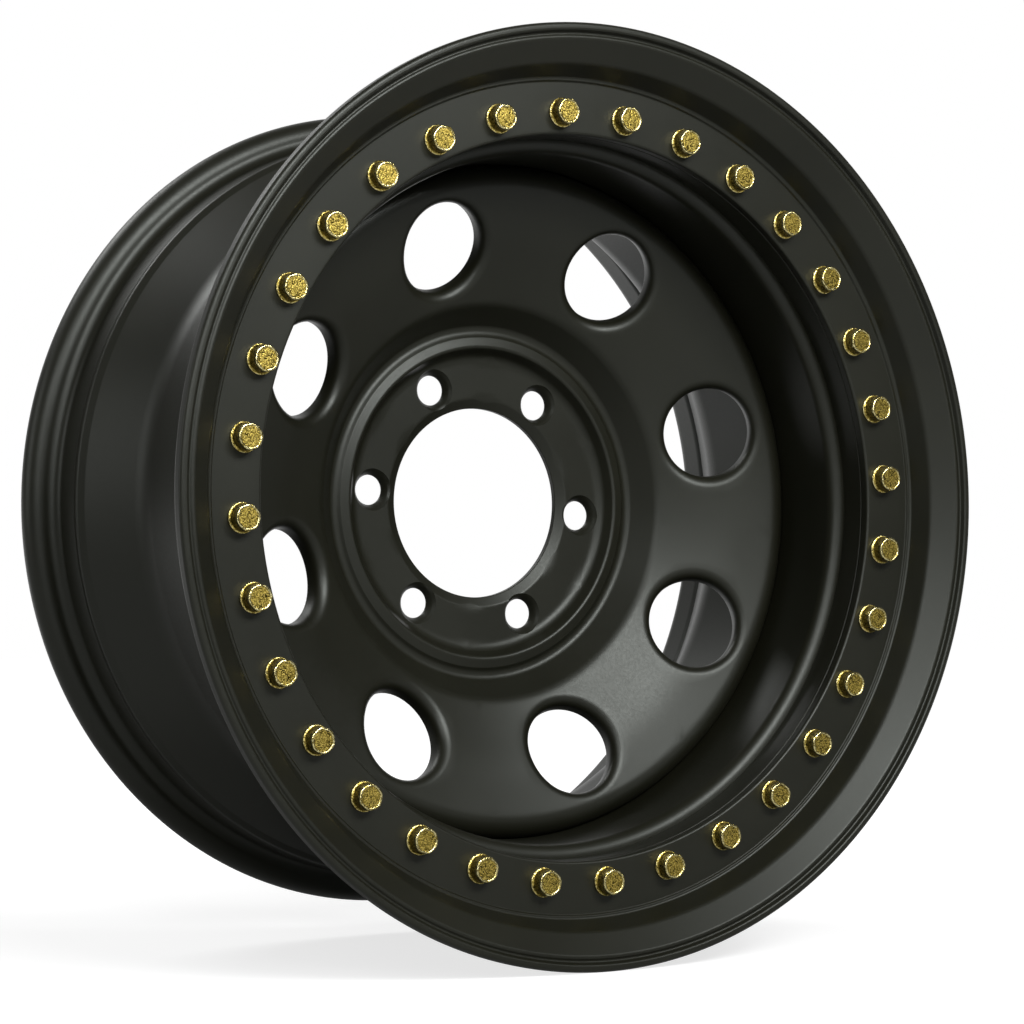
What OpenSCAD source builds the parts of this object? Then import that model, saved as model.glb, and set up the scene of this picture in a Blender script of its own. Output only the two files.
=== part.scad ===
// Steel beadlock wheel for an off-road car, 17 inch bead seat, six lug holes.
// The origin is the centre of the hub face. The axle runs along Y, with the
// outboard side towards -Y and the car towards +Y. Z is up.
// Sections of the turned and pressed pieces are written as [radius, y, corner radius].

/* [Rim barrel] */
// Diameter of both tyre bead seats
bead_d = 436.6; // [430:0.1:444]
// Distance between the two bead faces
rim_w = 190.5; // [180:0.5:215]
// Distance from the hub face to the inboard bead face
backspace = 89.5; // [75:0.5:105]
// Height of the inboard flange above its bead seat
flange_h = 16.2; // [14:0.1:19]
// Radius of the flange curl, to its outer face
curl_r = 9.5; // [8.5:0.1:11]
// How far the curl turns past the top of the flange
curl_past = 48; // [20:1:70]
// Depth of the drop centre below the bead seat
well_h = 24.8; // [21:0.1:27]
// Distance from the inboard bead face to the foot of the well slope
slope_foot = 63; // [55:0.5:68]
// Width of the inboard bead seat
seat_w = 20; // [18:0.5:24]
// Taper of the bead seat
seat_taper = 5; // [3:0.5:7]
// Height of the safety hump beside the bead seat
hump_h = 1.1; // [0.6:0.1:2]
// Thickness of the barrel steel
rim_t = 4.5; // [3.5:0.1:5.5]
// Diameter of the valve hole
valve_d = 11.5; // [9:0.1:16]
// Distance from the outboard bead face to the valve hole
valve_in = 25; // [20:0.5:32]
// Angle of the valve hole, seen from outboard
valve_a = 174.5; // [150:0.5:200]

/* [Disc] */
// Thickness of the disc steel
disc_t = 6.4; // [5:0.1:7.5]
// Diameter of the centre bore
bore_d = 108; // [90:0.1:112]
// Width of the bevel in front of the bore
bevel_w = 5.5; // [3:0.1:7]
// Depth of that bevel
bevel_h = 3; // [1.5:0.1:3.5]
// Width of the flat pad outside the lug hole circle
pad_w = 13.35; // [12.5:0.05:14.5]
// Width of the crest of the hub rib
rib_w = 5.8; // [4:0.1:7]
// Height of the hub rib above the pad
rib_h = 8.2; // [6:0.1:10]
// Fall of the rib's crest towards the wall
rib_fall = 1.4; // [0:0.1:2]
// Width of the wall between the hub rib and the dome
wall_w = 18; // [16:0.5:20]
// Height of the dome's inner edge above the hub face
dome_in_h = 25.5; // [22:0.5:28]
// Distance from the dome's inner edge to its gentle bend
dome_mid_w = 38; // [34:0.5:42]
// Height of that bend above the hub face
dome_mid_h = 42.5; // [39:0.5:45]
// Height of the dome's outer corner above the hub face
dome_out_h = 54.5; // [51:0.5:58]
// Radius of the dome's outer corner
shoulder_r = 11; // [8:0.5:14]
// Height of the skirt's rear edge above the hub face
skirt_end_h = 22; // [16:0.5:28]

/* [Windows] */
// Number of round windows
window_n = 8; // [6:1:8]
// Clear diameter of a window
window_d = 52; // [40:0.5:54]
// Distance from the dome's inner edge to the window centres
window_in = 32.5; // [31:0.25:34]
// Radius of the rolled window edge
window_roll = 6; // [4:0.25:7]
// Depth of the rolled collar, from the front of the dome
collar_h = 11.5; // [9:0.25:13]
// Angle of the first window, seen from outboard
window_a = 17; // [0:0.5:44]

/* [Lug holes] */
// Number of lug holes
lug_n = 6; // [5:1:6]
// Diameter of the lug hole circle
lug_circle_d = 139.7; // [137:0.1:140]
// Diameter of a lug hole
lug_d = 16.9; // [14:0.1:18]
// Depth of the sixty degree nut seat
seat_h = 3.4; // [2:0.1:4]
// Width of the broken edge round the seat
seat_edge = 1.4; // [0.8:0.1:1.6]
// Angle of the first lug hole, seen from outboard
lug_a = 55; // [0:0.5:60]

/* [Bead rings] */
// Depth of the step that centres the tyre bead on the weld ring
step_h = 7.5; // [5:0.25:9]
// Width of the weld ring's shoulder outside its step
shoulder_w = 17.7; // [12:0.1:21]
// Thickness of the weld ring's shoulder
shoulder_t = 8; // [6:0.25:10]
// Clearance between the barrel's flared end and the bolts
flare_clear = 1.75; // [1:0.25:3]
// Width of both rings inside the bolt circle
land_w = 11.7; // [10:0.1:13]
// Width of the clamp ring outside the bead diameter
clamp_w = 35.4; // [32:0.1:38]
// Thickness of the clamp ring
clamp_t = 6; // [5:0.1:7]
// Height of the clamp ring's outer crest above its bolt land
clamp_rise = 22.4; // [20:0.25:25]
// Gap between pieces that are welded face to face
fit_gap = 0.05; // [0.02:0.01:0.1]

/* [Bolts] */
// Number of clamp bolts
bolt_n = 32; // [16:4:36]
// Distance of the bolt circle inside the bead diameter
bolt_in = 10.1; // [9.5:0.1:11]
// Diameter of the bolt shank
bolt_d = 7.9; // [6:0.1:8.5]
// Length of the bolt under its head
bolt_l = 25.4; // [22:0.1:30]
// Diameter of the bolt's flange
bolt_flange_d = 17.2; // [16.4:0.1:18]
// Thickness of the flange at its rim
bolt_flange_t = 1.3; // [1:0.1:1.6]
// Width across the flats of the head
bolt_flats = 12.7; // [11:0.1:13]
// Height of the bolt head, flange included
bolt_head_h = 8.2; // [7:0.1:9]
// Radial clearance of the bolt in the clamp ring
bolt_slack = 0.35; // [0.2:0.05:0.5]
// Radial clearance of the thread in the weld ring
thread_slack = 0.05; // [0.02:0.01:0.1]
// Angle of the first bolt, seen from outboard
bolt_a = 4; // [0:0.25:11]

/* [Hidden] */
$fn = 128;
eps = 0.01;
satin_black = [0.09, 0.095, 0.09];
yellow_zinc = [0.72, 0.58, 0.22];
bead_r = bead_d / 2;
well_r = bead_r - well_h;
rim_in_r = well_r - rim_t;
skirt_r = rim_in_r - fit_gap;
bore_r = bore_d / 2;
lug_r = lug_d / 2;
lug_circle_r = lug_circle_d / 2;
window_r = window_d / 2;
bolt_r = bolt_d / 2;
bolt_circle_r = bead_r - bolt_in;
face_in = backspace;
face_out = backspace - rim_w;
boss_y = face_out - step_h;
land_y = boss_y - clamp_t;
barrel_end = face_out + shoulder_t + fit_gap;
flare_r = bolt_circle_r - bolt_r - flare_clear;
step_deg = 15;

// Places copies round the axle, by angle seen from outboard
module around(count, first = 0) {
    for (i = [0:count - 1])
        rotate([0, -(first + i * 360 / count), 0])
            children();
}

// Turns a section round the axle
module turned(section) {
    rotate([-90, 0, 0])
        rotate_extrude()
            polygon(section);
}

// Points of an arc that rounds corner b between a and c
function unit(v) = v / norm(v);
function flat(p) = [p[0], p[1]];
function turn_angle(a, b, c) = acos(max(-1, min(1, unit(b - a) * unit(c - b))));
function side(a, b, c) = sign((b[0] - a[0]) * (c[1] - b[1]) - (b[1] - a[1]) * (c[0] - b[0]));
function left(v) = [-v[1], v[0]];
function corner_arc(a, b, c, r) =
    let (
        bend = turn_angle(a, b, c),
        turn = side(a, b, c),
        start = b - unit(b - a) * r * tan(bend / 2),
        centre = start + left(unit(b - a)) * r * turn,
        steps = max(2, ceil(bend / step_deg)),
        spoke = start - centre
    )
    [for (i = [0:steps])
        let (w = turn * bend * i / steps)
        centre + [spoke[0] * cos(w) - spoke[1] * sin(w), spoke[0] * sin(w) + spoke[1] * cos(w)]];
function rounded(path) =
    let (last = len(path) - 1)
    [for (i = [0:last])
        let (p = path[i])
        if (i == 0 || i == last || p[2] == 0) flat(p)
        else each corner_arc(flat(path[i - 1]), flat(p), flat(path[i + 1]), p[2])];

// The same path moved sideways by t, with its corner radii kept concentric
function shifted_point(a, b, c, t) =
    let (n1 = left(unit(b - a)), n2 = left(unit(c - b)), m = n1 + n2)
    b + m * (2 * t / (m * m));
function shifted(path, t) =
    let (last = len(path) - 1)
    [for (i = [0:last])
        let (
            b = flat(path[i]),
            a = i == 0 ? 2 * b - flat(path[1]) : flat(path[i - 1]),
            c = i == last ? 2 * b - flat(path[last - 1]) : flat(path[i + 1]),
            q = shifted_point(a, b, c, t),
            r = path[i][2] == 0 ? 0 : max(0.4, path[i][2] - t * side(a, b, c))
        )
        [q[0], q[1], r]];
function reversed(path) = [for (i = [len(path) - 1:-1:0]) path[i]];

// A closed section of constant thickness along a path
function sheet(path, t) = concat(rounded(path), reversed(rounded(shifted(path, t))));

// Barrel: the outer face of the rolled section, from the flared lock end to the flange curl
heel_y = face_in;
seat_drop = seat_w * tan(seat_taper);
toe_r = bead_r - seat_drop;
toe_y = heel_y - seat_w;
hump_y = toe_y - 4.5;
curl_c = [bead_r + flange_h - curl_r, heel_y + curl_r];
curl_end = [for (w = [6:6:curl_past]) curl_c + curl_r * [cos(w), sin(w)]];
curl_top = [for (w = [0:10:90]) curl_c + curl_r * [sin(w), -cos(w)]];
flare_bend = 2.5;
barrel_path = [
    [flare_r, barrel_end + rim_t, 0],
    [well_r, barrel_end + rim_t, flare_bend],
    [well_r, heel_y - slope_foot, 26],
    [toe_r - 2.4, hump_y - 4, 5],
    [toe_r + hump_h, hump_y, 3],
    [toe_r, toe_y, 4],
    [bead_r, heel_y, 6.5],
    [curl_c[0], heel_y, 0]
];
inner_curl = curl_r - rim_t;
curl_back = [for (w = [curl_past:-8:0]) curl_c + inner_curl * [cos(w), sin(w)]];
curl_low = [for (w = [90:-15:0]) curl_c + inner_curl * [sin(w), -cos(w)]];
barrel_section = concat(
    rounded(barrel_path), curl_top, curl_end, curl_back, curl_low,
    reversed(rounded(shifted(barrel_path, rim_t)))
);

module barrel() {
    color(satin_black)
    difference() {
        turned(barrel_section);
        // Valve hole through the wall of the well
        rotate([0, -valve_a, 0])
            translate([rim_in_r - 3 * rim_t, face_out + valve_in, 0])
                rotate([0, 90, 0])
                    cylinder(d = valve_d, h = 5 * rim_t, $fn = 48);
    }
}

// Disc: front and back faces share one dished path
pad_r = lug_circle_r + pad_w;
rib_flank = 5;
rib_in = pad_r + rib_flank;
rib_out = rib_in + rib_w;
rib_y = -disc_t - rib_h;
foot_out = 1.5;
valley_out = 4.5;
dome_in = [rib_out + wall_w, -dome_in_h];
dome_mid = [dome_in[0] + dome_mid_w, -dome_mid_h];
dome_out = [skirt_r, -dome_out_h];
dome_bend = 150;
dome_foot = 14;
wall_foot = [rib_out + foot_out, -disc_t];
wall_slope = (dome_in[1] - wall_foot[1]) / (dome_in[0] - wall_foot[0]);
valley = [rib_out + valley_out, wall_foot[1] + (valley_out - foot_out) * wall_slope];
dome_path = [
    [dome_in[0], dome_in[1], dome_foot],
    [dome_mid[0], dome_mid[1], dome_bend],
    [dome_out[0], dome_out[1], shoulder_r],
    [skirt_r, -skirt_end_h, 0]
];
back_path = concat([[bore_r, -disc_t, 0], [wall_foot[0], wall_foot[1], 6]], dome_path);
front_path = concat(
    [
        [bore_r, bevel_h - disc_t, 0],
        [bore_r + bevel_w, -disc_t, 2],
        [pad_r, -disc_t, 7],
        [rib_in, rib_y, 2.2],
        [rib_out, rib_y + rib_fall, 1],
        [valley[0], valley[1], 4.5]
    ],
    dome_path
);
disc_section = concat(rounded(front_path), reversed(rounded(shifted(back_path, disc_t))));
collar_reach = 0.72;
dome_edge = dome_mid + collar_reach * (dome_out - dome_mid);
collar_path = [
    [dome_in[0], dome_in[1], 0],
    [dome_mid[0], dome_mid[1], dome_bend],
    [dome_edge[0], dome_edge[1], 0]
];
collar_t = 0.7 * disc_t;
window_tilt = atan2(dome_mid_h - dome_in_h, dome_mid_w);
window_c = [dome_in[0] + window_in, dome_in[1] - window_in * tan(window_tilt)];

// Puts a child on the dome, with its z axis square to the surface and outboard
module on_window() {
    around(window_n, window_a)
        translate([window_c[0], window_c[1], 0])
            rotate([0, 0, -window_tilt])
                rotate([90, 0, 0])
                    children();
}

// Punch that cuts one window and rolls its front edge
module window_punch() {
    mouth_r = window_r + 2 * window_roll;
    mouth_h = 1.4;
    rotate_extrude($fn = 96)
        polygon([
            [0, -2 * collar_h],
            [window_r, -2 * collar_h],
            each [for (w = [0:22.5:90])
                [window_r + window_roll * (1 - cos(w)), window_roll * (sin(w) - 1)]],
            [mouth_r, mouth_h],
            [mouth_r, collar_h],
            [0, collar_h]
        ]);
}

// Lug hole with its conical nut seat and broken edge, drilled from the pad
module lug_hole() {
    seat_r = lug_r + seat_h * tan(30);
    rotate([90, 0, 0]) {
        translate([0, 0, -disc_t])
            cylinder(r = lug_r, h = 4 * disc_t, $fn = 64);
        translate([0, 0, disc_t - seat_edge - seat_h])
            cylinder(r1 = lug_r, r2 = seat_r, h = seat_h, $fn = 64);
        translate([0, 0, disc_t - seat_edge])
            cylinder(r1 = seat_r, r2 = seat_r + seat_edge + eps, h = seat_edge + eps, $fn = 64);
    }
}

module disc() {
    color(satin_black)
    difference() {
        union() {
            turned(disc_section);
            // Collars rolled inboard round the windows
            intersection() {
                turned(sheet(collar_path, collar_h));
                on_window()
                    translate([0, 0, -2 * collar_h])
                        cylinder(r = window_r + collar_t, h = 4 * collar_h, $fn = 96);
            }
        }
        on_window()
            window_punch();
        around(lug_n, lug_a)
            translate([lug_circle_r, 0, 0])
                lug_hole();
    }
}

// Weld ring: welded to the flared barrel end, it centres the bead and takes the bolts
clamp_in_r = bolt_circle_r - land_w;
weld_in_r = clamp_in_r;
weld_edge = 0.5;
weld_section = rounded([
    [weld_in_r, face_out + shoulder_t, 0],
    [weld_in_r, boss_y + weld_edge, 0],
    [weld_in_r + weld_edge, boss_y, 0],
    [bead_r, boss_y, 1],
    [bead_r, face_out, 2],
    [bead_r + shoulder_w, face_out, 3],
    [bead_r + shoulder_w, face_out + shoulder_t, 3],
    [weld_in_r, face_out + shoulder_t, 0]
]);

module weld_ring() {
    color(satin_black)
    difference() {
        turned([for (i = [0:len(weld_section) - 2]) weld_section[i]]);
        around(bolt_n, bolt_a)
            translate([bolt_circle_r, boss_y - 1, 0])
                rotate([-90, 0, 0])
                    cylinder(r = bolt_r + thread_slack, h = step_h + shoulder_t + 2, $fn = 32);
    }
}

// Clamp ring: bolt land, small ridge, dished band and rolled lip, heights above the land
function up(r, h, c = 0) = [r, land_y - h, c];
ridge_r = bead_r + 7.4;
lip_r = bead_r + clamp_w;
band_w = lip_r - ridge_r;
// Point of the dished band, by its share of the way from the ridge to the lip
function band(share, h, c) = up(ridge_r + share * band_w, h, c);
clamp_section = rounded([
    up(clamp_in_r, -clamp_t / 2),
    up(clamp_in_r, 0, 1.6),
    up(ridge_r - 0.8, 0, 0.6),
    up(ridge_r, 1.2, 0.6),
    up(ridge_r + 1.6, 1.2, 1.6),
    band(0.26, clamp_rise - 9.9, 7),
    band(0.709, clamp_rise, 2),
    band(0.796, clamp_rise - 2, 1),
    band(0.853, clamp_rise + 1.4, 1.4),
    band(1, clamp_rise + 1.2, 2.4),
    band(1, clamp_rise - 6.6, 2.2),
    band(0.825, clamp_rise - 6.4, 2),
    band(0.442, clamp_rise - 14.8, 4),
    band(0.218, -clamp_t, 6),
    up(clamp_in_r, -clamp_t, 1.2),
    up(clamp_in_r, -clamp_t / 2)
]);

module clamp_ring() {
    color(satin_black)
    difference() {
        turned([for (i = [0:len(clamp_section) - 2]) clamp_section[i]]);
        around(bolt_n, bolt_a)
            translate([bolt_circle_r, land_y - 1, 0])
                rotate([-90, 0, 0])
                    cylinder(r = bolt_r + bolt_slack, h = clamp_t + 2, $fn = 32);
    }
}

// Flange bolt: its z axis points outboard and its flange sits on z = 0
module bolt() {
    hex_r = bolt_flats / 2 / cos(30);
    flange_r = bolt_flange_d / 2;
    cone_h = 1.1;
    top_r = hex_r - 1.6;
    translate([0, 0, -bolt_l])
        cylinder(r = bolt_r, h = bolt_l + eps, $fn = 32);
    cylinder(r = flange_r, h = bolt_flange_t, $fn = 48);
    translate([0, 0, bolt_flange_t])
        cylinder(r1 = flange_r, r2 = hex_r - 0.3, h = cone_h, $fn = 48);
    intersection() {
        cylinder(r = hex_r, h = bolt_head_h, $fn = 6);
        cylinder(r1 = top_r + bolt_head_h, r2 = top_r, h = bolt_head_h, $fn = 48);
    }
}

module clamp_bolts() {
    color(yellow_zinc)
    around(bolt_n, bolt_a)
        translate([bolt_circle_r, land_y, 0])
            rotate([90, 0, 0])
                bolt();
}

barrel();
disc();
weld_ring();
clamp_ring();
clamp_bolts();
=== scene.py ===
import math
import bpy
import bmesh
import numpy as np
from mathutils import Matrix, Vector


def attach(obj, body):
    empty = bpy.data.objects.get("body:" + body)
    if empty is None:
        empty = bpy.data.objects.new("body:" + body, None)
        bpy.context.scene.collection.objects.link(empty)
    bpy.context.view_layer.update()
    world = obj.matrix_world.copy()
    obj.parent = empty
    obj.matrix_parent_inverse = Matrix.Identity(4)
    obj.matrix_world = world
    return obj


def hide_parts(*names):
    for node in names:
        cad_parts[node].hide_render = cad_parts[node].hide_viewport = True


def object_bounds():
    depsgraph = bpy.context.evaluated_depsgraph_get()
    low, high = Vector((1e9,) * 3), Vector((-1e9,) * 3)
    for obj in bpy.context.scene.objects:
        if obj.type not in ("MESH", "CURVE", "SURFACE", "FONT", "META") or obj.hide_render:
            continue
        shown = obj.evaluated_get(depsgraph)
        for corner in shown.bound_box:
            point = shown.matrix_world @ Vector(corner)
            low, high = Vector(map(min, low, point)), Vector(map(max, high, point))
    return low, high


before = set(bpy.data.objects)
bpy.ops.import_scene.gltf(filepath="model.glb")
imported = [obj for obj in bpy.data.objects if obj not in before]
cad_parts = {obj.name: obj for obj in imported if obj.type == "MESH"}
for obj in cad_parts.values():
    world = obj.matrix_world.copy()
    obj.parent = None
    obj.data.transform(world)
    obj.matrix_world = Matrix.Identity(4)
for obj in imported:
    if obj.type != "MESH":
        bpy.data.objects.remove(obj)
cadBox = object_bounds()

# Black steel beadlock wheel. Lengths are in millimetres until a mesh is made.
# Seen from outboard, angle 0 points right and angle 90 points up; outboard is -Y.
scene = bpy.context.scene
steps = 288                      # steps round every turned face
stepAngle = 360 / steps
margin = 0.02                    # a run's own points stay this far from the ends it is given
weldGap = 2e-6                   # points of a mesh this close, in metres, become one
print("frame loaded", sorted(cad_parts))


def unit(v):
    return v / np.linalg.norm(v)


def leftOf(v):
    return np.array([-v[1], v[0]])


# A section is a path of [radius, y, corner radius]. It becomes a run of points, with every
# corner replaced by an arc that touches both of its sides.
def roundPath(path, arcStep=4.0, fewest=4):
    spots = [np.array(p[:2], float) for p in path]
    out = []
    for i, spot in enumerate(spots):
        r = path[i][2]
        if i in (0, len(path) - 1) or r == 0:
            out.append(spot[None])
            continue
        into, away = unit(spot - spots[i - 1]), unit(spots[i + 1] - spot)
        bend = math.acos(max(-1, min(1, into @ away)))
        turn = np.sign(into[0] * away[1] - into[1] * away[0])
        centre = spot - into * r * math.tan(bend / 2) + leftOf(into) * r * turn
        spoke = -leftOf(into) * r * turn
        w = turn * np.linspace(0, bend, max(fewest, math.ceil(math.degrees(bend) / arcStep) + 1))
        out.append(centre + np.stack([spoke[0] * np.cos(w) - spoke[1] * np.sin(w),
                                      spoke[0] * np.sin(w) + spoke[1] * np.cos(w)], 1))
    return np.concatenate(out)


# The same path moved sideways by t, each corner radius kept concentric but never too small
def shiftPath(path, t, smallest=0.4):
    spots = [np.array(p[:2], float) for p in path]
    out = []
    for i, p in enumerate(path):
        before = unit(spots[i] - spots[i - 1]) if i else unit(spots[1] - spots[0])
        after = unit(spots[i + 1] - spots[i]) if i < len(path) - 1 else before
        m = leftOf(before) + leftOf(after)
        turn = np.sign(before[0] * after[1] - before[1] * after[0])
        q = spots[i] + m * (2 * t / (m @ m))
        out.append([q[0], q[1], 0 if p[2] == 0 else max(smallest, p[2] - t * turn)])
    return out


# Extra points close to the ends of long straight runs, so that shading stays crisp there
def withSupports(run, near=0.35, long=2.0, same=1e-6):
    out = [run[:1]]
    for a, b in zip(run[:-1], run[1:]):
        length = np.linalg.norm(b - a)
        if length > long:
            way = (b - a) / length
            out.append(np.stack([a + way * near, b - way * near]))
        if length > same:
            out.append(b[None])
    return np.concatenate(out)


def arc(centre, r, start, end, count):
    w = np.radians(np.linspace(start, end, count))
    return np.stack([centre[0] + r * np.cos(w), centre[1] + r * np.sin(w)], 1)


# Corners of the quads of a grid whose columns run right round
def gridFaces(rows, columns, closedRows=False):
    i = np.arange(rows if closedRows else rows - 1)[:, None]
    j = np.arange(columns)[None]
    k, n = (i + 1) % rows, (j + 1) % columns
    return np.stack([i * columns + j, i * columns + n, k * columns + n, k * columns + j],
                    -1).reshape(-1, 4)


# Turned face: P(s, t) = (r(s) cos t, y(s), r(s) sin t). twist slides a row's points round.
def turned(run, twist=0.0, closed=False):
    t = np.radians(np.arange(steps) * stepAngle + np.broadcast_to(twist, len(run))[:, None])
    r, y = run[:, :1], run[:, 1:]
    points = np.stack([r * np.cos(t), y + 0 * t, r * np.sin(t)], -1)
    return points.reshape(-1, 3), gridFaces(len(run), steps, closed)


# A point at a distance and direction from a hole's axis, h above the plane across it
def fromPlane(hole, reach, way, h):
    out = reach * np.cos(way)
    c, s = math.cos(hole["tilt"]), math.sin(hole["tilt"])
    return (hole["centre"][0] + out * c - h * s, hole["centre"][1] - out * s - h * c,
            reach * np.sin(way))


# The h at which that point lies on the turned face y = face(r), closer with every round
def heightOn(face, hole, reach, way, rounds=16):
    h = np.zeros_like(way)
    for _ in range(rounds):
        x, y, z = fromPlane(hole, reach, way, h)
        h = h + (y - face(np.hypot(x, z))) * math.cos(hole["tilt"])
    return h


# Ring of equal sectors with one hole each. In a sector, P(u, v): v runs round the hole and u
# from the sector's outline over the front face, through the hole and out over the back face.
def holedRing(front, back, hole, rims):
    half = 180 / hole["count"]
    arcs, sides = steps // hole["count"], hole["sides"]

    def outline(r0, r1):
        along, up = np.linspace(-half, half, arcs + 1), np.linspace(r0, r1, sides + 1)
        r = np.concatenate([np.full(arcs, r0), up[:-1], np.full(arcs, r1), up[:0:-1]])
        t = np.concatenate([along[:-1], np.full(sides, half), along[:0:-1], np.full(sides, -half)])
        return r, np.radians(t)

    rOut, tOut = outline(*hole["frontSpan"])
    way = np.arctan2(rOut * np.sin(tOut), rOut * np.cos(tOut) - hole["centre"][0])

    def sweep(face, span, reach):
        r, t = outline(*span)
        x, _, z = fromPlane(hole, reach, way, heightOn(face, hole, reach, way))
        u = np.linspace(0, 1, hole["rows"])[:, None] ** hole.get("ease", 1)
        r = r + (np.hypot(x, z) - r) * u
        t = t + (np.arctan2(z, x) - t) * u
        return np.stack([r * np.cos(t), face(r), r * np.sin(t)], -1)

    rows = [sweep(front, hole["frontSpan"], rims[0][0])]
    for reach, drop, face in rims[1:-1]:
        h = -drop if face is None else heightOn(face, hole, reach, way) - drop
        rows.append(np.stack(fromPlane(hole, reach, way, h + 0 * way), -1)[None])
    rows.append(sweep(back, hole["backSpan"], rims[-1][0])[::-1])
    sector = np.concatenate(rows)
    turn = np.radians(hole["first"] + np.arange(hole["count"]) * 360 / hole["count"])[:, None, None]
    x, y, z = sector[None, ..., 0], sector[None, ..., 1], sector[None, ..., 2]
    points = np.stack([x * np.cos(turn) - z * np.sin(turn), y + 0 * turn,
                       x * np.sin(turn) + z * np.cos(turn)], -1)
    faces = gridFaces(sector.shape[0], sector.shape[1])
    shift = np.arange(hole["count"])[:, None, None] * sector.shape[0] * sector.shape[1]
    return points.reshape(-1, 3), (faces[None] + shift).reshape(-1, 4)


# The part of a run with r between two radii, its ends exactly on the face that it follows
def between(run, face, r0, r1):
    inside = run[(run[:, 0] > r0 + margin) & (run[:, 0] < r1 - margin)]
    ends = face(np.array([r0, r1]))
    return np.concatenate([[[r0, ends[0]]], inside, [[r1, ends[1]]]])


def addObject(name, data):
    added = bpy.data.objects.new(name, data)
    scene.collection.objects.link(added)
    return added


# Joins patches into one closed mesh, welds them, gives it its body and finish, and hides the CAD node
# that it stands in for
def makePiece(name, patches, material, node, sharp=32, rubbedAndHighlit=None):
    base, points, faces = 0, [], []
    for p, f in patches:
        points.append(p)
        faces.append(f + base)
        base += len(p)
    mesh = bpy.data.meshes.new(name)
    mesh.from_pydata(np.concatenate(points) / 1000, [], np.concatenate(faces))
    # The pale gold share of each point: rubbed plating and a painted highlight
    if rubbedAndHighlit is not None:
        mesh.attributes.new("rubbedAndHighlit", "FLOAT", "POINT").data.foreach_set("value", rubbedAndHighlit)
    work = bmesh.new()
    work.from_mesh(mesh)
    bmesh.ops.remove_doubles(work, verts=work.verts, dist=weldGap)
    bmesh.ops.recalc_face_normals(work, faces=work.faces)
    openEdges = sum(1 for e in work.edges if len(e.link_faces) != 2)
    work.to_mesh(mesh)
    work.free()
    mesh.shade_smooth()
    mesh.set_sharp_from_angle(angle=math.radians(sharp))
    mesh.materials.append(material)
    piece = addObject(name, mesh)
    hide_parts(node)
    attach(piece, "root")
    print(name, len(mesh.polygons), "faces,", openEdges, "open edges")
    return piece


# An output socket. Sums, differences and products of wires add their Math nodes.
class Wire:
    def __init__(self, tree, socket=None):
        self.tree, self.socket = tree, socket

    # Any node: its type, its settings, then the values or wires of its inputs
    def node(self, kind, settings=None, values=None, out=0):
        made = self.tree.nodes.new(kind)
        for name, value in (settings or {}).items():
            setattr(made, name, value)
        for name, value in (values or {}).items():
            if isinstance(value, Wire):
                self.tree.links.new(value.socket, made.inputs[name])
            else:
                made.inputs[name].default_value = value
        return Wire(self.tree, made.outputs[out])

    def maths(self, operation, *terms):
        return self.node("ShaderNodeMath", {"operation": operation}, dict(enumerate(terms)))

    def __add__(self, other):
        return self.maths("ADD", self, other)

    def __radd__(self, other):
        return self.maths("ADD", other, self)

    def __sub__(self, other):
        return self.maths("SUBTRACT", self, other)

    def __rsub__(self, other):
        return self.maths("SUBTRACT", other, self)

    def __mul__(self, other):
        return self.maths("MULTIPLY", self, other)

    def __rmul__(self, other):
        return self.maths("MULTIPLY", other, self)

    # Smooth 0 to 1 as this wire goes from low to high
    def ramp(self, low, high):
        return self.node("ShaderNodeMapRange", {"interpolation_type": "SMOOTHSTEP"},
                         {"Value": self, "From Min": low, "From Max": high})

    # This wire and another one, mixed by this one's share
    def mixed(self, other, share):
        return self * share + other * (1 - share)

    # This wire chooses between two colours
    def blend(self, first, second):
        return self.node("ShaderNodeMix", {"data_type": "RGBA"}, {0: self, 6: first, 7: second}, 2)

    def noise(self, scale, detail=2.0, roughness=0.5):
        return self.node("ShaderNodeTexNoise", {}, {"Vector": self, "Scale": scale,
                         "Detail": detail, "Roughness": roughness})


def newMaterial(name):
    material = bpy.data.materials.new(name)
    material.use_nodes = True
    material.node_tree.nodes.clear()
    start = Wire(material.node_tree)
    return material, start, start.node("ShaderNodeTexCoord", out="Object")


def finishMaterial(start, values):
    shader = start.node("ShaderNodeBsdfPrincipled", {}, values)
    end = start.tree.nodes.new("ShaderNodeOutputMaterial")
    start.tree.links.new(shader.socket, end.inputs["Surface"])


# Satin powder coat: a faint olive black with fine orange peel
satinCoat = {
    "deep": (0.0056, 0.0055, 0.0024, 1), "pale": (0.0090, 0.0089, 0.0048, 1),
    "sheen": (0.95, 1.0, 0.95, 1), "specular": 0.42,
    "cloud": 9.0, "peel": 620.0, "grain": 2600.0, "toneShare": 0.6, "toneSpan": (0.35, 0.65),
    "wornShare": 0.5, "wornSpan": (0.3, 0.7), "roughLow": 0.38, "roughHigh": 0.45,
    "peelShare": 0.6, "bump": 0.10, "depth": 0.0002,
}

def satinBlack():
    material, start, place = newMaterial("satinBlackCoat")
    f = satinCoat
    cloud = place.noise(f["cloud"], detail=4.0, roughness=0.55)
    peel = place.noise(f["peel"])
    grain = place.noise(f["grain"], detail=1.0)
    tone = cloud.mixed(grain, f["toneShare"]).ramp(*f["toneSpan"])
    worn = cloud.mixed(peel, f["wornShare"]).ramp(*f["wornSpan"])
    bump = start.node("ShaderNodeBump", {}, {"Strength": f["bump"], "Distance": f["depth"],
                      "Height": peel.mixed(grain, f["peelShare"])})
    finishMaterial(start, {
        "Base Color": tone.blend(f["deep"], f["pale"]),
        "Roughness": f["roughLow"] + worn * (f["roughHigh"] - f["roughLow"]),
        "Specular IOR Level": f["specular"], "Specular Tint": f["sheen"], "Normal": bump})
    return material
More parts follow.
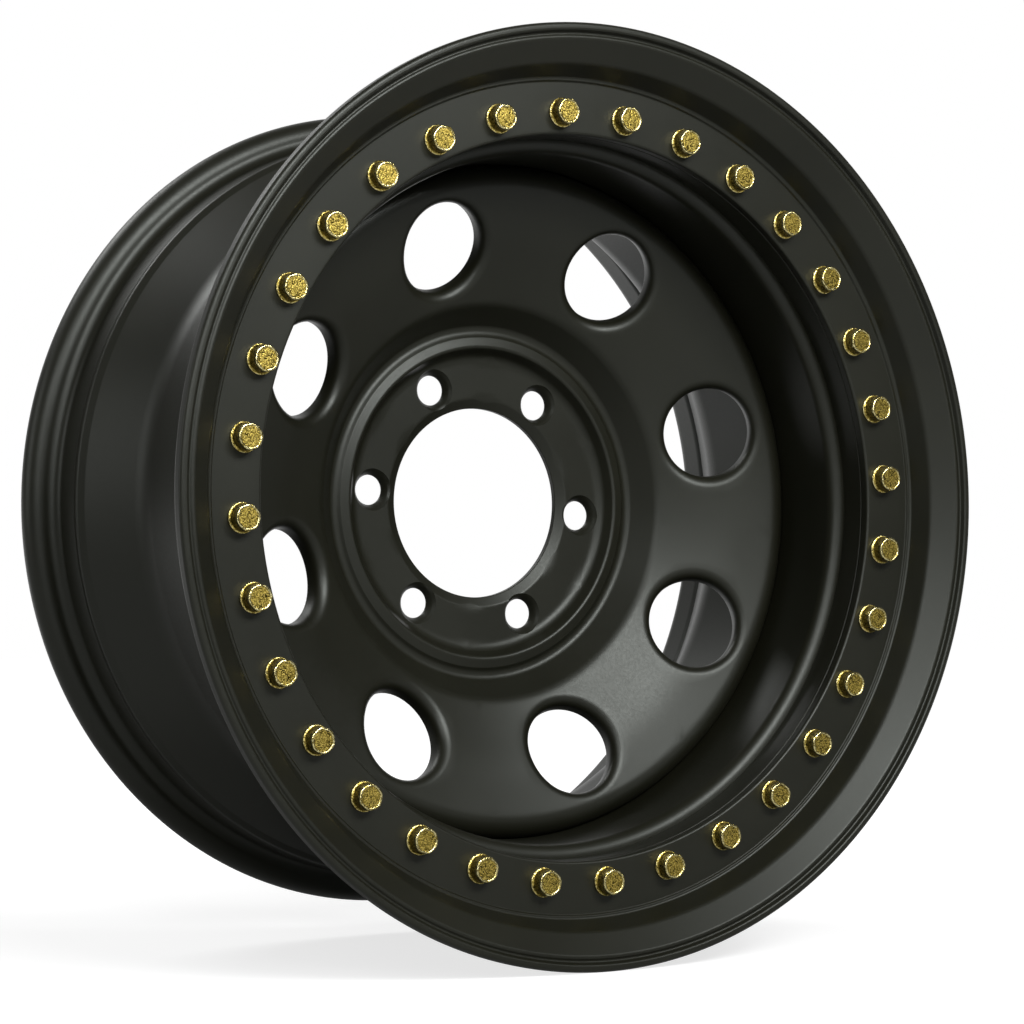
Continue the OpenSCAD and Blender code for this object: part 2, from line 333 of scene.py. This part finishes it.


# Yellow zinc: mottled olive film, pale gold along the edges, partly rubbed plating and partly a painted
# highlight
zincPlate = {
    "olive": (0.035, 0.025, 0.004, 1), "film": (0.27, 0.20, 0.035, 1),
    # The last colour is the pale gold of the rubbed edges, lightened to a painted highlight
    "gold": (0.74, 0.57, 0.14, 1), "bright": (1.0, 0.90, 0.46, 1),
    "mottle": 520.0, "fleck": 1300.0, "mottleShare": 0.6,
    "filmSpan": (0.38, 0.54), "goldSpan": (0.49, 0.57), "brightSpan": (0.40, 0.56),
    "roughLow": 0.14, "roughHigh": 0.36, "bump": 0.8, "depth": 0.0005,
}

def yellowZinc():
    material, start, place = newMaterial("yellowZincPlate")
    f = zincPlate
    mottle = place.noise(f["mottle"], detail=3.0, roughness=0.6)
    fleck = place.noise(f["fleck"], roughness=0.6)
    # Share of pale gold at each point: rubbed plating, and a painted highlight on the rims
    rubbedAndHighlit = start.node("ShaderNodeAttribute", {"attribute_name": "rubbedAndHighlit"}, out="Fac")
    film = mottle.ramp(*f["filmSpan"]).blend(f["olive"], f["film"])
    specks = fleck.ramp(*f["goldSpan"]).blend(film, f["gold"])
    # Pale gold for rubbed plating with a painted highlight
    edge = fleck.ramp(*f["brightSpan"]).blend(f["film"], f["bright"])
    bump = start.node("ShaderNodeBump", {}, {"Strength": f["bump"], "Distance": f["depth"],
                      "Height": mottle.mixed(fleck, f["mottleShare"])})
    finishMaterial(start, {
        "Base Color": rubbedAndHighlit.blend(specks, edge), "Metallic": 1.0,
        "Roughness": f["roughLow"] + (1 - rubbedAndHighlit) * (f["roughHigh"] - f["roughLow"]), "Normal": bump})
    return material


coat = satinBlack()
zinc = yellowZinc()
print("materials made")


# Rim barrel: rolled steel, flared at the lock end and curled over at the inboard flange.
# A Bend is a corner radius, a Drop a step in radius, and a Back a length along Y. The curl ends
# curlPast degrees beyond straight outwards, and its tip takes up the last curlGap degrees.
barrelFacts = {
    "thick": 4.5, "lockEnd": -92.95, "flareR": 202.5, "flareBend": 2.5, "flareEdge": 0.7,
    "wellR": 193.5, "slopeFoot": 63.0, "slopeBend": 26, "dipDrop": 2.4, "dipBack": 8.5, "dipBend": 5,
    "hump": 1.1, "humpBack": 4.5, "humpBend": 3, "toeDrop": 1.75, "toeBend": 4, "seat": 20.0,
    "beadR": 218.3, "beadFace": 89.5, "beadBend": 6.5,
    "curlR": 9.5, "curlTop": 16.2, "curlPast": 41.5, "curlGap": 6,
    "valveAngle": 174.5, "valveY": -76.0, "valveR": 5.75, "drillDepth": 30, "drillSides": 48,
}

def barrelRun():
    f = barrelFacts
    t, edge, half, past = f["thick"], f["flareEdge"], f["thick"] / 2, f["curlPast"]
    toeR, toeY = f["beadR"] - f["toeDrop"], f["beadFace"] - f["seat"]
    curl = (f["beadR"] + f["curlTop"] - f["curlR"], f["beadFace"] + f["curlR"])
    outer = [[f["flareR"], f["lockEnd"] + t, 0], [f["wellR"], f["lockEnd"] + t, f["flareBend"]],
             [f["wellR"], f["beadFace"] - f["slopeFoot"], f["slopeBend"]],
             [toeR - f["dipDrop"], toeY - f["dipBack"], f["dipBend"]],
             [toeR + f["hump"], toeY - f["humpBack"], f["humpBend"]], [toeR, toeY, f["toeBend"]],
             [f["beadR"], f["beadFace"], f["beadBend"]], [curl[0], f["beadFace"], 0]]
    tip = arc(curl, f["curlR"] - half, past, past, count=1)[0]
    flareTip = [[f["flareR"] - edge, f["lockEnd"]], [f["flareR"], f["lockEnd"] + edge],
                [f["flareR"], f["lockEnd"] + t - edge], [f["flareR"] - edge, f["lockEnd"] + t]]
    return np.concatenate([
        roundPath(outer)[1:-1],
        arc(curl, f["curlR"], -90, past - f["curlGap"], count=32),
        arc(tip, half, past, past + 180, count=12)[1:-1],
        arc(curl, f["curlR"] - t, past - f["curlGap"], -90, count=20),
        roundPath(shiftPath(outer, t))[::-1][1:-1],
        flareTip,
    ])


# Drills the valve hole through the wall of the well
def drillValve(piece):
    f = barrelFacts
    tool = bmesh.new()
    a, r = math.radians(f["valveAngle"]), f["valveR"] / 1000
    across = Matrix([[-math.sin(a), 0, math.cos(a)], [0, 1, 0], [math.cos(a), 0, math.sin(a)]])
    spot = Matrix.Translation([f["wellR"] * math.cos(a) / 1000, f["valveY"] / 1000,
                               f["wellR"] * math.sin(a) / 1000])
    bmesh.ops.create_cone(tool, cap_ends=True, segments=f["drillSides"], radius1=r, radius2=r,
                          depth=f["drillDepth"] / 1000, matrix=spot @ across.to_4x4())
    bmesh.ops.recalc_face_normals(tool, faces=tool.faces)
    mesh = bpy.data.meshes.new("drill")
    tool.to_mesh(mesh)
    tool.free()
    drill = addObject("drill", mesh)
    cut = piece.modifiers.new("valve", "BOOLEAN")
    cut.operation, cut.solver, cut.object = "DIFFERENCE", "EXACT", drill
    ready = piece.evaluated_get(bpy.context.evaluated_depsgraph_get())
    result = bpy.data.meshes.new_from_object(ready)
    piece.modifiers.remove(cut)
    piece.data = result
    bpy.data.objects.remove(drill)
    print("valve hole drilled,", len(result.polygons), "faces")

barrel = makePiece("rimBarrel", [turned(withSupports(barrelRun()), closed=True)], coat,
                   "barrel")
drillValve(barrel)


# Pressed disc: hub rib, dome, windows with rolled edges, lug holes with conical seats.
# domeIn and domeMid are corners of the section, and a Span is a ring of holes' [inner, outer] radius.
discFacts = {
    "thick": 6.4, "boreR": 54.0, "boreEdge": 0.4, "bevelW": 5.5, "bevelH": 3.0, "bevelEdge": 0.2,
    "bevelBend": 2, "padR": 83.2, "padBend": 7, "ribIn": 88.2, "ribOut": 94.0, "ribY": -14.6,
    "ribFall": 1.4, "ribBends": (2.2, 1), "footOut": 1.5, "footBend": 6, "valleyOut": 4.5,
    "valleyBend": 4.5, "domeIn": (112.0, -25.5, 14), "domeMid": (150.0, -42.5, 150),
    "domeOut": -54.5, "skirtR": 188.95, "shoulderR": 11.0, "skirtEnd": -22.0, "skirtEdge": 1.0,
    "windows": 8, "windowFirst": 17.0, "windowR": 26.0, "windowIn": 32.5, "roll": 6.0,
    "rollSteps": 9, "collar": 11.5, "collarT": 4.48, "collarEdge": 0.9, "collarFillet": 3.0,
    "edgeSteps": 4, "lugs": 6, "lugFirst": 55.0, "lugCircleR": 69.85, "lugR": 8.45,
    "seatH": 3.4, "seatHalfAngle": 30, "seatEdge": 1.4, "lugBackEdge": 0.5,
    "innerSpan": (57.2, 84.2), "outerSpan": (112.8, 176.5), "backSpan": (109.0, 175.5),
}

# Where a run stops moving outwards: the skirt begins there
def turnBack(run, slack=1e-4):
    return int(np.argmax(run[:, 0] > run[:, 0].max() - slack)) + 1


# The y of a section at any radius inside its skirt
def faceOf(path):
    fine = roundPath(path, arcStep=0.5)
    fine = fine[:turnBack(fine)]
    return lambda r: np.interp(r, fine[:, 0], fine[:, 1])


def discPatches():
    f = discFacts
    t = f["thick"]
    foot = (f["ribOut"] + f["footOut"], -t)
    slope = (f["domeIn"][1] - foot[1]) / (f["domeIn"][0] - foot[0])
    valley = (f["ribOut"] + f["valleyOut"], foot[1] + (f["valleyOut"] - f["footOut"]) * slope)
    dome = [f["domeIn"], f["domeMid"], [f["skirtR"], f["domeOut"], f["shoulderR"]],
            [f["skirtR"], f["skirtEnd"], 0]]
    frontPath = [[f["boreR"], f["bevelH"] - t, 0], [f["boreR"] + f["bevelW"], -t, f["bevelBend"]],
                 [f["padR"], -t, f["padBend"]], [f["ribIn"], f["ribY"], f["ribBends"][0]],
                 [f["ribOut"], f["ribY"] + f["ribFall"], f["ribBends"][1]],
                 [*valley, f["valleyBend"]]] + dome
    backPath = shiftPath([[f["boreR"], -t, 0], [*foot, f["footBend"]]] + dome, t)
    frontRun, backRun = roundPath(frontPath, arcStep=3.0), roundPath(backPath, arcStep=5.0)
    frontFace, backFace = faceOf(frontPath), faceOf(backPath)

    # Windows: the front edge rolls in, a collar stands inboard and meets the back in a fillet
    tilt = math.atan2(f["domeIn"][1] - f["domeMid"][1], f["domeMid"][0] - f["domeIn"][0])
    centreR = f["domeIn"][0] + f["windowIn"]
    window = {"count": f["windows"], "first": f["windowFirst"], "tilt": tilt,
              "centre": (centreR, f["domeIn"][1] - f["windowIn"] * math.tan(tilt)),
              "frontSpan": f["outerSpan"], "backSpan": f["backSpan"],
              "sides": 14, "rows": 9, "ease": 1.25}
    r, roll, end, wall = f["windowR"], f["roll"], f["collar"], f["collarT"]
    edge, fillet = f["collarEdge"], f["collarFillet"]
    fine = np.radians(np.linspace(0, 90, f["rollSteps"]))
    brief = np.radians(np.linspace(0, 90, f["edgeSteps"]))
    rims = [(r + roll * (1 - math.sin(a)), roll * (1 - math.cos(a)), frontFace) for a in fine]
    rims += [(r + edge * (1 - math.cos(a)), end - edge * (1 - math.sin(a)), frontFace) for a in brief]
    rims += [(r + wall - edge * (1 - math.sin(a)), end - edge * (1 - math.cos(a)), frontFace)
             for a in brief]
    rims += [(r + wall + fillet * (1 - math.cos(a)), fillet * (1 - math.sin(a)), backFace)
             for a in brief]
    windows = holedRing(frontFace, backFace, window, rims)

    # Lug holes: broken edge, sixty degree seat, bore. Two points lie close to each corner.
    lug = {"count": f["lugs"], "first": f["lugFirst"], "tilt": 0.0, "centre": (f["lugCircleR"], -t),
           "frontSpan": f["innerSpan"], "backSpan": f["innerSpan"], "sides": 8, "rows": 13, "ease": 1.7}
    lugR, backEdge, near, far = f["lugR"], f["lugBackEdge"], 0.1, 0.15
    seatR = lugR + f["seatH"] * math.tan(math.radians(f["seatHalfAngle"]))
    seatTop, seatFoot = f["seatEdge"], f["seatEdge"] + f["seatH"]
    lugRims = [(seatR + f["seatEdge"], 0, frontFace), (seatR + far, seatTop - near, None),
               (seatR - near, seatTop + far, None), (lugR + near, seatFoot - far, None),
               (lugR, seatFoot + far, None), (lugR, t - backEdge, None), (lugR + backEdge, 0, backFace)]
    lugs = holedRing(frontFace, backFace, lug, lugRims)

    # Turned runs that join the two rings of holes. They slide round from the first step of the
    # lug holes' sectors to the nearest step of the windows' sectors.
    a = lug["first"] - 180 / lug["count"]
    b = window["first"] - 180 / window["count"]
    b = a + (b - a + stepAngle / 2) % stepAngle - stepAngle / 2
    spanF, spanB, spanL = window["frontSpan"], window["backSpan"], f["innerSpan"]
    topF, topB = (run[:turnBack(run)] for run in (frontRun, backRun))
    middleF = withSupports(between(topF, frontFace, spanL[1], spanF[0]))
    middleB = withSupports(between(topB, backFace, spanL[1], spanB[0]))
    boreR, boreEdge, bevelEdge, bevelY = f["boreR"], f["boreEdge"], f["bevelEdge"], f["bevelH"] - t
    bore = np.concatenate([
        between(topF, frontFace, boreR, spanL[0])[::-1][:-1],
        [[boreR + bevelEdge, bevelY - bevelEdge / 2], [boreR, bevelY + bevelEdge],
         [boreR, -boreEdge], [boreR + boreEdge, 0], [spanL[0], 0]]])
    edgeF = [[spanF[1], float(frontFace(spanF[1]))]]
    edgeB = [[spanB[1], float(backFace(spanB[1]))]]
    outF = frontRun[frontRun[:, 0] > spanF[1] + margin]
    outB = backRun[backRun[:, 0] > spanB[1] + margin]
    skirtR, skirtEnd, skirtEdge = f["skirtR"], f["skirtEnd"], f["skirtEdge"]
    outF[-1, 1] -= skirtEdge
    outB[-1, 1] -= skirtEdge
    skirtTip = [[skirtR - skirtEdge, skirtEnd], [skirtR - t + skirtEdge, skirtEnd]]
    skirt = withSupports(np.concatenate([edgeF, outF, skirtTip, outB[::-1], edgeB]))
    return [windows, lugs, turned(middleF, np.linspace(a, b, len(middleF))),
            turned(middleB, np.linspace(a, b, len(middleB))),
            turned(withSupports(bore), a), turned(skirt, b)]

makePiece("pressedDisc", discPatches(), coat, "disc")


# Flange bolts, and the two rings that share their circle. A row of tip is [radius, height from
# the shank's end], of flange and sides [outwards, height, rubbed plating and painted highlight],
# and of dishEdge [inwards from the rim, share of the dish's depth, rubbed plating and painted
# highlight].
boltFacts = {
    "count": 32, "first": 4.0, "circleR": 208.2, "landY": -114.5, "r": 3.95, "length": 25.4,
    "seed": 11, "holeEdges": (0.4, 0.3), "columns": 36, "pitch": 1.4, "threadDeep": 0.42,
    "threadSpan": (0.7, 6.3), "threadRows": 33, "shankEdge": 0.3, "neck": 0.2, "shankRubbedAndHighlit": 0.3,
    "tip": ((0, 0), (2.9, 0), (3.4, 0.4)),
    "flangeR": 8.2, "flange": ((-0.4, 0, 0.6), (-0.1, 0.12, 1), (0, 0.45, 1), (0, 0.85, 1),
                               (-0.15, 1.15, 1), (-0.4, 1.3, 0.5), (-0.7, 1.4, 0)),
    "flats": 13.7, "roundR": 7.05, "soften": 0.2, "headH": 8.2, "rim": 0.8, "rimRows": 6,
    "sides": ((0.2, 1.7, 0), (0, 2.1, 0), (0, 2.6, 0), (0, 4.4, 0), (0, 6.2, 0)),
    "rimFoot": (0.4, 0.7), "dish": 0.5, "dishEdge": ((0.2, 0, 1), (0.5, 0.3, 0.9), (0.8, 1, 0)),
    "dishMid": 0.55, "dishRise": 0.1,
}

# A turned ring: one band of bolt holes, closed by the runs of its inner and outer edges
def boltedRing(loop, span, frontY, backY, holeR):
    def front(r):
        return frontY + 0 * r

    def back(r):
        return backY + 0 * r

    hole = {"count": boltFacts["count"], "first": boltFacts["first"], "tilt": 0.0, "sides": 5,
            "rows": 4, "centre": (boltFacts["circleR"], frontY), "frontSpan": span, "backSpan": span}
    near, far = boltFacts["holeEdges"]
    rims = [(holeR + near, 0, front), (holeR, near, None), (holeR, backY - frontY - far, None),
            (holeR + far, 0, back)]
    twist = hole["first"] - 180 / hole["count"]
    return [holedRing(front, back, hole, rims)] + [turned(withSupports(run), twist) for run in loop]


# Weld ring: the inner ring of the lock. The bead sits on its boss, against the shoulder.
weldFacts = {
    "innerR": 196.5, "frontY": -108.5, "stepY": -101.0, "backY": -93.0, "bossR": 218.3,
    "shoulderR": 236.0, "bossBend": 1, "stepBend": 2, "shoulderBend": 3, "edge": 0.5,
    "holeGap": 0.05, "span": (199.5, 216.6),
}

def weldPatches():
    f = weldFacts
    span = f["span"]
    outer = roundPath([[span[1], f["frontY"], 0], [f["bossR"], f["frontY"], f["bossBend"]],
                       [f["bossR"], f["stepY"], f["stepBend"]],
                       [f["shoulderR"], f["stepY"], f["shoulderBend"]],
                       [f["shoulderR"], f["backY"], f["shoulderBend"]], [span[1], f["backY"], 0]])
    inner = roundPath([[span[0], f["backY"], 0], [f["innerR"], f["backY"], f["edge"]],
                       [f["innerR"], f["frontY"], f["edge"]], [span[0], f["frontY"], 0]])
    return boltedRing([outer, inner], span, f["frontY"], f["backY"], boltFacts["r"] + f["holeGap"])

makePiece("weldRing", weldPatches(), coat, "weld_ring")


# Clamp ring: flat land for the bolts, small ridge, dished band and rolled lip. A row of band is
# [share of the way from the ridge to the lip, height from the crest, corner radius], out over
# the front of the band, round the lip and back behind it.
clampFacts = {
    "innerR": 196.5, "innerBends": (1.2, 1.6), "lipR": 253.7, "ridgeR": 225.7, "ridge": 1.2,
    "ridgeSlope": 0.8, "ridgeBend": 0.6, "ridgeW": 1.6, "thick": 6.0, "rise": 22.4,
    "band": ((0.26, -9.9, 7), (0.709, 0, 2), (0.796, -2, 1), (0.853, 1.4, 1.4), (1, 1.2, 2.4),
             (1, -6.6, 2.2), (0.825, -6.4, 2), (0.442, -14.8, 4)),
    "backFoot": 0.218, "backBend": 6, "holeGap": 0.35, "span": (199.5, 217.0),
}

def clampPatches():
    f = clampFacts
    land, ridgeR, t, (spanIn, spanOut) = boltFacts["landY"], f["ridgeR"], f["thick"], f["span"]

    def up(r, h, c=0):
        return [r, land - h, c]

    def band(share, h, c):
        return up(ridgeR + share * (f["lipR"] - ridgeR), h, c)

    ridge = [up(ridgeR - f["ridgeSlope"], 0, f["ridgeBend"]), up(ridgeR, f["ridge"], f["ridgeBend"]),
             up(ridgeR + f["ridgeW"], f["ridge"], f["ridgeW"])]
    bands = [band(share, f["rise"] + h, c) for share, h, c in f["band"]]
    outer = roundPath([up(spanOut, 0), *ridge, *bands, band(f["backFoot"], -t, f["backBend"]),
                       up(spanOut, -t)])
    inner = roundPath([up(spanIn, -t), up(f["innerR"], -t, f["innerBends"][0]),
                       up(f["innerR"], 0, f["innerBends"][1]), up(spanIn, 0)])
    return boltedRing([outer, inner], f["span"], land, land + t, boltFacts["r"] + f["holeGap"])

makePiece("clampRing", clampPatches(), coat, "clamp_ring")


# One bolt: P(h, v) = (r(h, v) cos v, r(h, v) sin v, h). The shank's end is threaded, and the
# head is the smooth minimum of a hexagon and a circle, with a round rim and a dished top.
# A row's last number is its share of pale gold: partly rubbed plating, partly a painted highlight.
def boltRows():
    f = boltFacts
    v = np.radians(np.arange(f["columns"]) * 360 / f["columns"])
    hexagon = f["flats"] / 2 / np.cos((v + math.pi / 6) % (math.pi / 3) - math.pi / 6)
    s, top, rim, end, k = f["soften"], f["headH"], f["rim"], -f["length"], f["shankRubbedAndHighlit"]
    head = -s * np.log(np.exp(-hexagon / s) + np.exp(-f["roundR"] / s))
    thread = np.linspace(end + f["threadSpan"][0], end + f["threadSpan"][1], f["threadRows"])
    wave = np.abs(((thread[:, None] / f["pitch"] - v[None] / (2 * math.pi)) % 1) - 0.5) * 2
    rows = [(r + 0 * v, end + h, k) for r, h in f["tip"]]
    rows += [(f["r"] - f["threadDeep"] * (1 - w), h, k) for w, h in zip(wave, thread)]
    rows += [(f["r"] + out + 0 * v, h, k) for out, h in
             [(0, thread[-1] + f["shankEdge"]), (0, -f["shankEdge"]), (f["neck"], 0)]]
    rows += [(f["flangeR"] + out + 0 * v, h, rubbedAndHighlit) for out, h, rubbedAndHighlit in f["flange"]]
    rows += [(head + out, h, rubbedAndHighlit) for out, h, rubbedAndHighlit in f["sides"]]
    rows += [(head, top - rim - f["rimFoot"][0], f["rimFoot"][1])]
    # The round rim is all pale gold: rubbed plating and a painted highlight
    bend = np.radians(np.linspace(0, 90, f["rimRows"]))
    rows += [(head - rim * (1 - math.cos(w)), top - rim * (1 - math.sin(w)), 1) for w in bend]
    rows += [(head - rim - inwards, top - share * f["dish"], rubbedAndHighlit)
             for inwards, share, rubbedAndHighlit in f["dishEdge"]]
    rows += [((head - rim) * f["dishMid"], top - f["dish"], 0),
             (0 * v, top - f["dish"] + f["dishRise"], 0)]
    r, h, rubbedAndHighlit = (np.array(part) for part in zip(*rows))
    return r, h, rubbedAndHighlit, v


# All the bolts, each turned by its own share of a sixth of a turn
def boltPatches():
    f = boltFacts
    r, h, rubbedAndHighlit, v = boltRows()
    spin = np.random.default_rng(f["seed"]).uniform(0, math.pi / 3, f["count"])[:, None, None]
    place = np.radians(f["first"] + np.arange(f["count"]) * 360 / f["count"])[:, None, None]
    away = r[None] * np.cos(v[None, None] + spin) + f["circleR"]
    side = r[None] * np.sin(v[None, None] + spin)
    y = f["landY"] - h[None, :, None] + 0 * away
    points = np.stack([away * np.cos(place) - side * np.sin(place), y,
                       away * np.sin(place) + side * np.cos(place)], -1)
    shift = np.arange(f["count"])[:, None, None] * r.size
    faces = gridFaces(len(h), f["columns"])[None] + shift
    shine = np.broadcast_to(rubbedAndHighlit[None, :, None], away.shape)
    return [(points.reshape(-1, 3), faces.reshape(-1, 4))], shine.ravel()

boltMesh, boltShine = boltPatches()
makePiece("clampBolts", boltMesh, zinc, "clamp_bolts", sharp=40, rubbedAndHighlit=boltShine)


# Floor, background, lights and camera
stageFacts = {
    "floorColour": (0.42, 0.42, 0.42, 1), "floorRough": 0.9, "half": 9.0, "ambient": 0.05,
    "nearLift": 0.74, "nearR": 0.30, "farR": 0.9, "black": (0, 0, 0, 1), "white": (1, 1, 1, 1),
    "towardsBack": (0.536, 0.844, 0.0), "frontGloss": 0.06, "backGloss": 1.0,
    "floorFade": (0.0, 1.2), "worldFade": (0.4, 0.95),
}

# 1 for rays from the camera. Rays in gloss or through glass see the pale backdrop behind the
# wheel as well; it fades to a dim room in front of the wheel, from low to high along the way back.
def seenDirectly(start, place, low, high):
    f = stageFacts
    rays = start.tree.nodes.new("ShaderNodeLightPath").outputs
    seen, gloss, clear = (Wire(start.tree, rays[name]) for name in
                          ("Is Camera Ray", "Is Glossy Ray", "Is Transmission Ray"))
    along = place.node("ShaderNodeVectorMath", {"operation": "DOT_PRODUCT"},
                       {0: place, 1: f["towardsBack"]}, "Value")
    shown = f["frontGloss"] + along.ramp(low, high) * (f["backGloss"] - f["frontGloss"])
    return seen.maths("MAXIMUM", seen, seen.maths("MAXIMUM", gloss, clear) * shown)


def makeFloor():
    f = stageFacts
    material, start, place = newMaterial("paleFloor")
    away = place.node("ShaderNodeVectorMath", {"operation": "LENGTH"}, {0: place}, "Value")
    lift = f["nearLift"] + away.ramp(f["nearR"], f["farR"]) * (1 - f["nearLift"])
    glow = (seenDirectly(start, place, *f["floorFade"]) * lift).blend(f["black"], f["white"])
    finishMaterial(start, {"Base Color": f["floorColour"], "Roughness": f["floorRough"],
                           "Specular IOR Level": 0.0, "Emission Color": glow, "Emission Strength": 1.0})
    mesh = bpy.data.meshes.new("floor")
    s, z = f["half"], cadBox[0][2]
    mesh.from_pydata([(-s, -s, z), (s, -s, z), (s, s, z), (-s, s, z)], [], [(0, 1, 2, 3)])
    mesh.materials.append(material)
    floor = addObject("floor", mesh)


def makeWorld():
    f = stageFacts
    world = bpy.data.worlds.new("studio")
    scene.world = world
    world.use_nodes = True
    world.node_tree.nodes.clear()
    start = Wire(world.node_tree)
    dim = (f["ambient"], f["ambient"], f["ambient"], 1)
    way = start.node("ShaderNodeTexCoord", out="Generated")
    colour = seenDirectly(start, way, *f["worldFade"]).blend(dim, f["white"])
    light = start.node("ShaderNodeBackground", {}, {"Color": colour, "Strength": 1.0})
    end = world.node_tree.nodes.new("ShaderNodeOutputWorld")
    world.node_tree.links.new(light.socket, end.inputs["Surface"])


# A matrix from the directions of three axes and a place
def placed(axes, place):
    return Matrix([[*row, p] for row, p in zip(np.stack(axes, 1), place)] + [[0, 0, 0, 1]])


# Area lamps that face the middle of the hub face. Lengths are in metres.
lamps = {
    "key": {"from": (0.16, -2.13, 1.28), "size": (1.6, 0.7), "watts": 66},
    "fill": {"from": (-1.45, -1.85, 0.85), "size": (1.0, 1.0), "watts": 15},
    "left": {"from": (-2.35, 0.55, 0.6), "size": (0.8, 1.2), "watts": 7},
    "back": {"from": (-0.8, 1.45, 1.85), "size": (1.2, 1.0), "watts": 22},
}

def makeLamps():
    for name, f in lamps.items():
        data = bpy.data.lights.new(name, "AREA")
        data.shape, data.energy = "RECTANGLE", f["watts"]
        data.size, data.size_y = f["size"]
        back = unit(np.array(f["from"], float))
        side = unit(np.cross((0, 0, 1), back))
        addObject(name, data).matrix_world = placed([side, np.cross(back, side), back], f["from"])


# The camera stands low and to the left, its place in metres, its lens and sensor in millimetres
cameraFacts = {
    "lens": 107.19, "sensor": 36, "clip": (0.05, 60), "place": (-0.91769, -1.48478, -0.05947),
    "right": (0.84375, -0.53673, 0.00053), "up": (-0.01716, -0.02599, 0.99951),
    "back": (-0.53646, -0.84335, -0.03114),
}

def makeCamera():
    f = cameraFacts
    data = bpy.data.cameras.new("camera")
    data.sensor_fit, data.sensor_width, data.lens = "HORIZONTAL", f["sensor"], f["lens"]
    data.clip_start, data.clip_end = f["clip"]
    camera = addObject("camera", data)
    camera.matrix_world = placed([f["right"], f["up"], f["back"]], f["place"])
    scene.camera = camera


makeFloor()
makeWorld()
makeLamps()
makeCamera()
scene.view_settings.view_transform = "Standard"
print("stage set")
